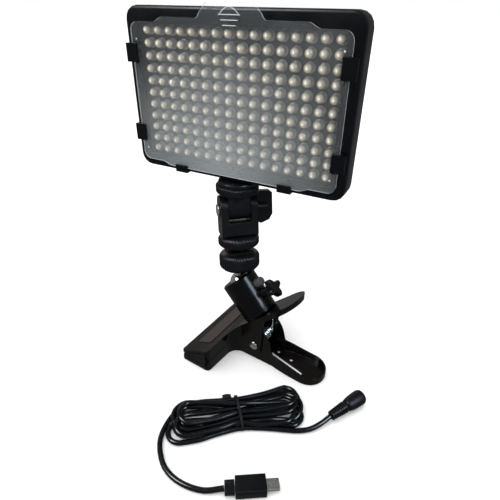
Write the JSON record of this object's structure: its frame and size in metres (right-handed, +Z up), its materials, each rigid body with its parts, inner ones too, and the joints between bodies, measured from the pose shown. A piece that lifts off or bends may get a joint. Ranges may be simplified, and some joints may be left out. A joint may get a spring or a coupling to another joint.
{
  "type": "led panel light on clamp mount",
  "caption": "Rectangular LED panel light with a slide-in diffuser, on a tilting shoe mount and ball-head spring clamp, with its power lead.",
  "frame": {"origin": "on the flat underside of the clamp's lower jaw, below the middle of the panel", "axes": "+Z up, the light faces -Y, +X to the right of someone who faces the light's front"},
  "size_m": [0.1841, 0.1637, 0.2357],
  "materials": {
    "housing": "semi-gloss moulded black with rounded edges",
    "plastic": "satin moulded black",
    "silver_plastic": "satin grey",
    "lens": "smoked clear window",
    "brass": "turned",
    "screw": "black oxide",
    "led": "warm-white epoxy domes on a pale board",
    "diffuser": "lightly frosted clear acrylic",
    "board": "green solder mask",
    "mount": "fine-grained black",
    "chrome": "bright plated",
    "socket": "gloss black",
    "clamp": "gloss black paint on pressed sheet steel",
    "rubber": "ribbed black",
    "nylon": "natural nylon",
    "zinc": "bright zinc",
    "steel": "nickel plated",
    "cord": "semi-gloss black PVC"
  },
  "bodies": {
    "base": {"lower_jaw": "clamp", "lower_pad": "rubber", "pivot_pin": "steel", "torsion_spring": "zinc", "lead_hank": "cord", "lead_usb_tail": "cord", "lead_dc_tail": "cord", "lead_tie": "rubber", "usb_strain_relief": "cord", "usb_plug_body": "plastic", "usb_plug_tip": "steel", "dc_strain_relief": "cord", "dc_plug_body": "plastic"},
    "upper_clamp": {"upper_jaw": "clamp", "upper_pad": "rubber", "ball_socket": "socket", "socket_screw": "zinc", "tension_screw": "zinc"},
    "socket_knob": {"wing_knob": "plastic"},
    "seat": {"ball_seat": "nylon"},
    "ball": {"ball_stem": "chrome"},
    "stem_wheel": {"stem_lock_wheel": "mount"},
    "mount": {"tilt_body": "mount", "tilt_bolt": "steel", "shoe_foot": "mount"},
    "shoe_ring": {"shoe_lock_ring": "mount"},
    "lever": {"tilt_lever": "mount"},
    "knuckle": {"tilt_knuckle": "mount"},
    "head_ring": {"head_lock_ring": "mount"},
    "panel": {"front_bezel": "housing", "rear_cover": "housing", "led_board": "led", "driver_board": "board", "battery_rail": "plastic", "battery_contacts": "plastic", "indicator_window": "lens", "power_jack": "plastic", "screw_insert": "brass", "cover_screw_1": "screw", "cover_screw_2": "screw", "cover_screw_3": "screw", "cover_screw_4": "screw"},
    "diffuser_plate": {"diffuser": "diffuser"},
    "dimmer": {"dimmer_knob": "plastic"},
    "switch": {"power_switch": "plastic"},
    "test_button": {"battery_test_button": "silver_plastic"},
    "release_button": {"battery_release_button": "plastic"}
  },
  "joints": [
    {"name": "jaw_open", "type": "hinge", "parent": "base", "child": "upper_clamp", "pos_m": [0.02616, -0.01331, 0.014], "axis": [0.1132, 0.9936, 0], "range_deg": [0, 28], "stiffness_Nm_per_rad": 1.2, "springref_deg": -34.38, "deforming": ["torsion_spring"]},
    {"name": "socket_knob_turn", "type": "hinge", "parent": "upper_clamp", "child": "socket_knob", "pos_m": [0.01591, -0.01214, 0.04609], "axis": [0.7325, -0.0835, 0.6756], "continuous": true},
    {"name": "ball_pan", "type": "hinge", "parent": "upper_clamp", "child": "seat", "pos_m": [0.00585, -0.01099, 0.05715], "axis": [-0.6712, 0.0765, 0.7373], "range_deg": [-45, 45]},
    {"name": "ball_tilt", "type": "hinge", "parent": "seat", "child": "ball", "pos_m": [0.00585, -0.01099, 0.05715], "axis": [-0.0172, 0.9928, -0.1187], "range_deg": [-36, 3]},
    {"name": "stem_wheel_turn", "type": "hinge", "parent": "ball", "child": "stem_wheel", "pos_m": [0.00585, -0.01099, 0.05715], "axis": [-0.1047, 0.1163, 0.9877], "continuous": true},
    {"name": "mount_swivel", "type": "hinge", "parent": "ball", "child": "mount", "pos_m": [0.00585, -0.01099, 0.05715], "axis": [-0.1047, 0.1163, 0.9877], "continuous": true},
    {"name": "shoe_ring_turn", "type": "hinge", "parent": "mount", "child": "shoe_ring", "pos_m": [0.00585, -0.01099, 0.05715], "axis": [-0.1047, 0.1163, 0.9877], "continuous": true},
    {"name": "tilt_lever_turn", "type": "hinge", "parent": "mount", "child": "lever", "pos_m": [0, -0.0045, 0.1123], "axis": [0.7431, 0.6691, 0], "continuous": true},
    {"name": "head_tilt", "type": "hinge", "parent": "mount", "child": "knuckle", "pos_m": [0, -0.0045, 0.1123], "axis": [0.7431, 0.6691, 0], "range_deg": [-80, 45]},
    {"name": "head_ring_turn", "type": "hinge", "parent": "knuckle", "child": "head_ring", "pos_m": [0, -0.0045, 0.129], "axis": [0, 0, 1], "continuous": true},
    {"name": "head_pan", "type": "hinge", "parent": "knuckle", "child": "panel", "pos_m": [0, -0.0045, 0.129], "axis": [0, 0, 1], "continuous": true},
    {"name": "diffuser_slide", "type": "slide", "parent": "panel", "child": "diffuser_plate", "axis": [0, 0, 1], "range_m": [0, 0.07]},
    {"name": "dimmer_turn", "type": "hinge", "parent": "panel", "child": "dimmer", "pos_m": [-0.053, 0.0045, 0.2005], "axis": [0, 1, 0], "range_deg": [0, 300]},
    {"name": "power_switch_slide", "type": "slide", "parent": "panel", "child": "switch", "axis": [0, 0, 1], "range_m": [0, 0.0048]},
    {"name": "test_button_press", "type": "slide", "parent": "panel", "child": "test_button", "axis": [0, -1, 0], "range_m": [0, 0.001], "stiffness_N_per_m": 300, "springref_m": -0.001},
    {"name": "release_button_press", "type": "slide", "parent": "panel", "child": "release_button", "axis": [0, -1, 0], "range_m": [0, 0.0015], "stiffness_N_per_m": 300, "springref_m": -0.0015}
  ]
}
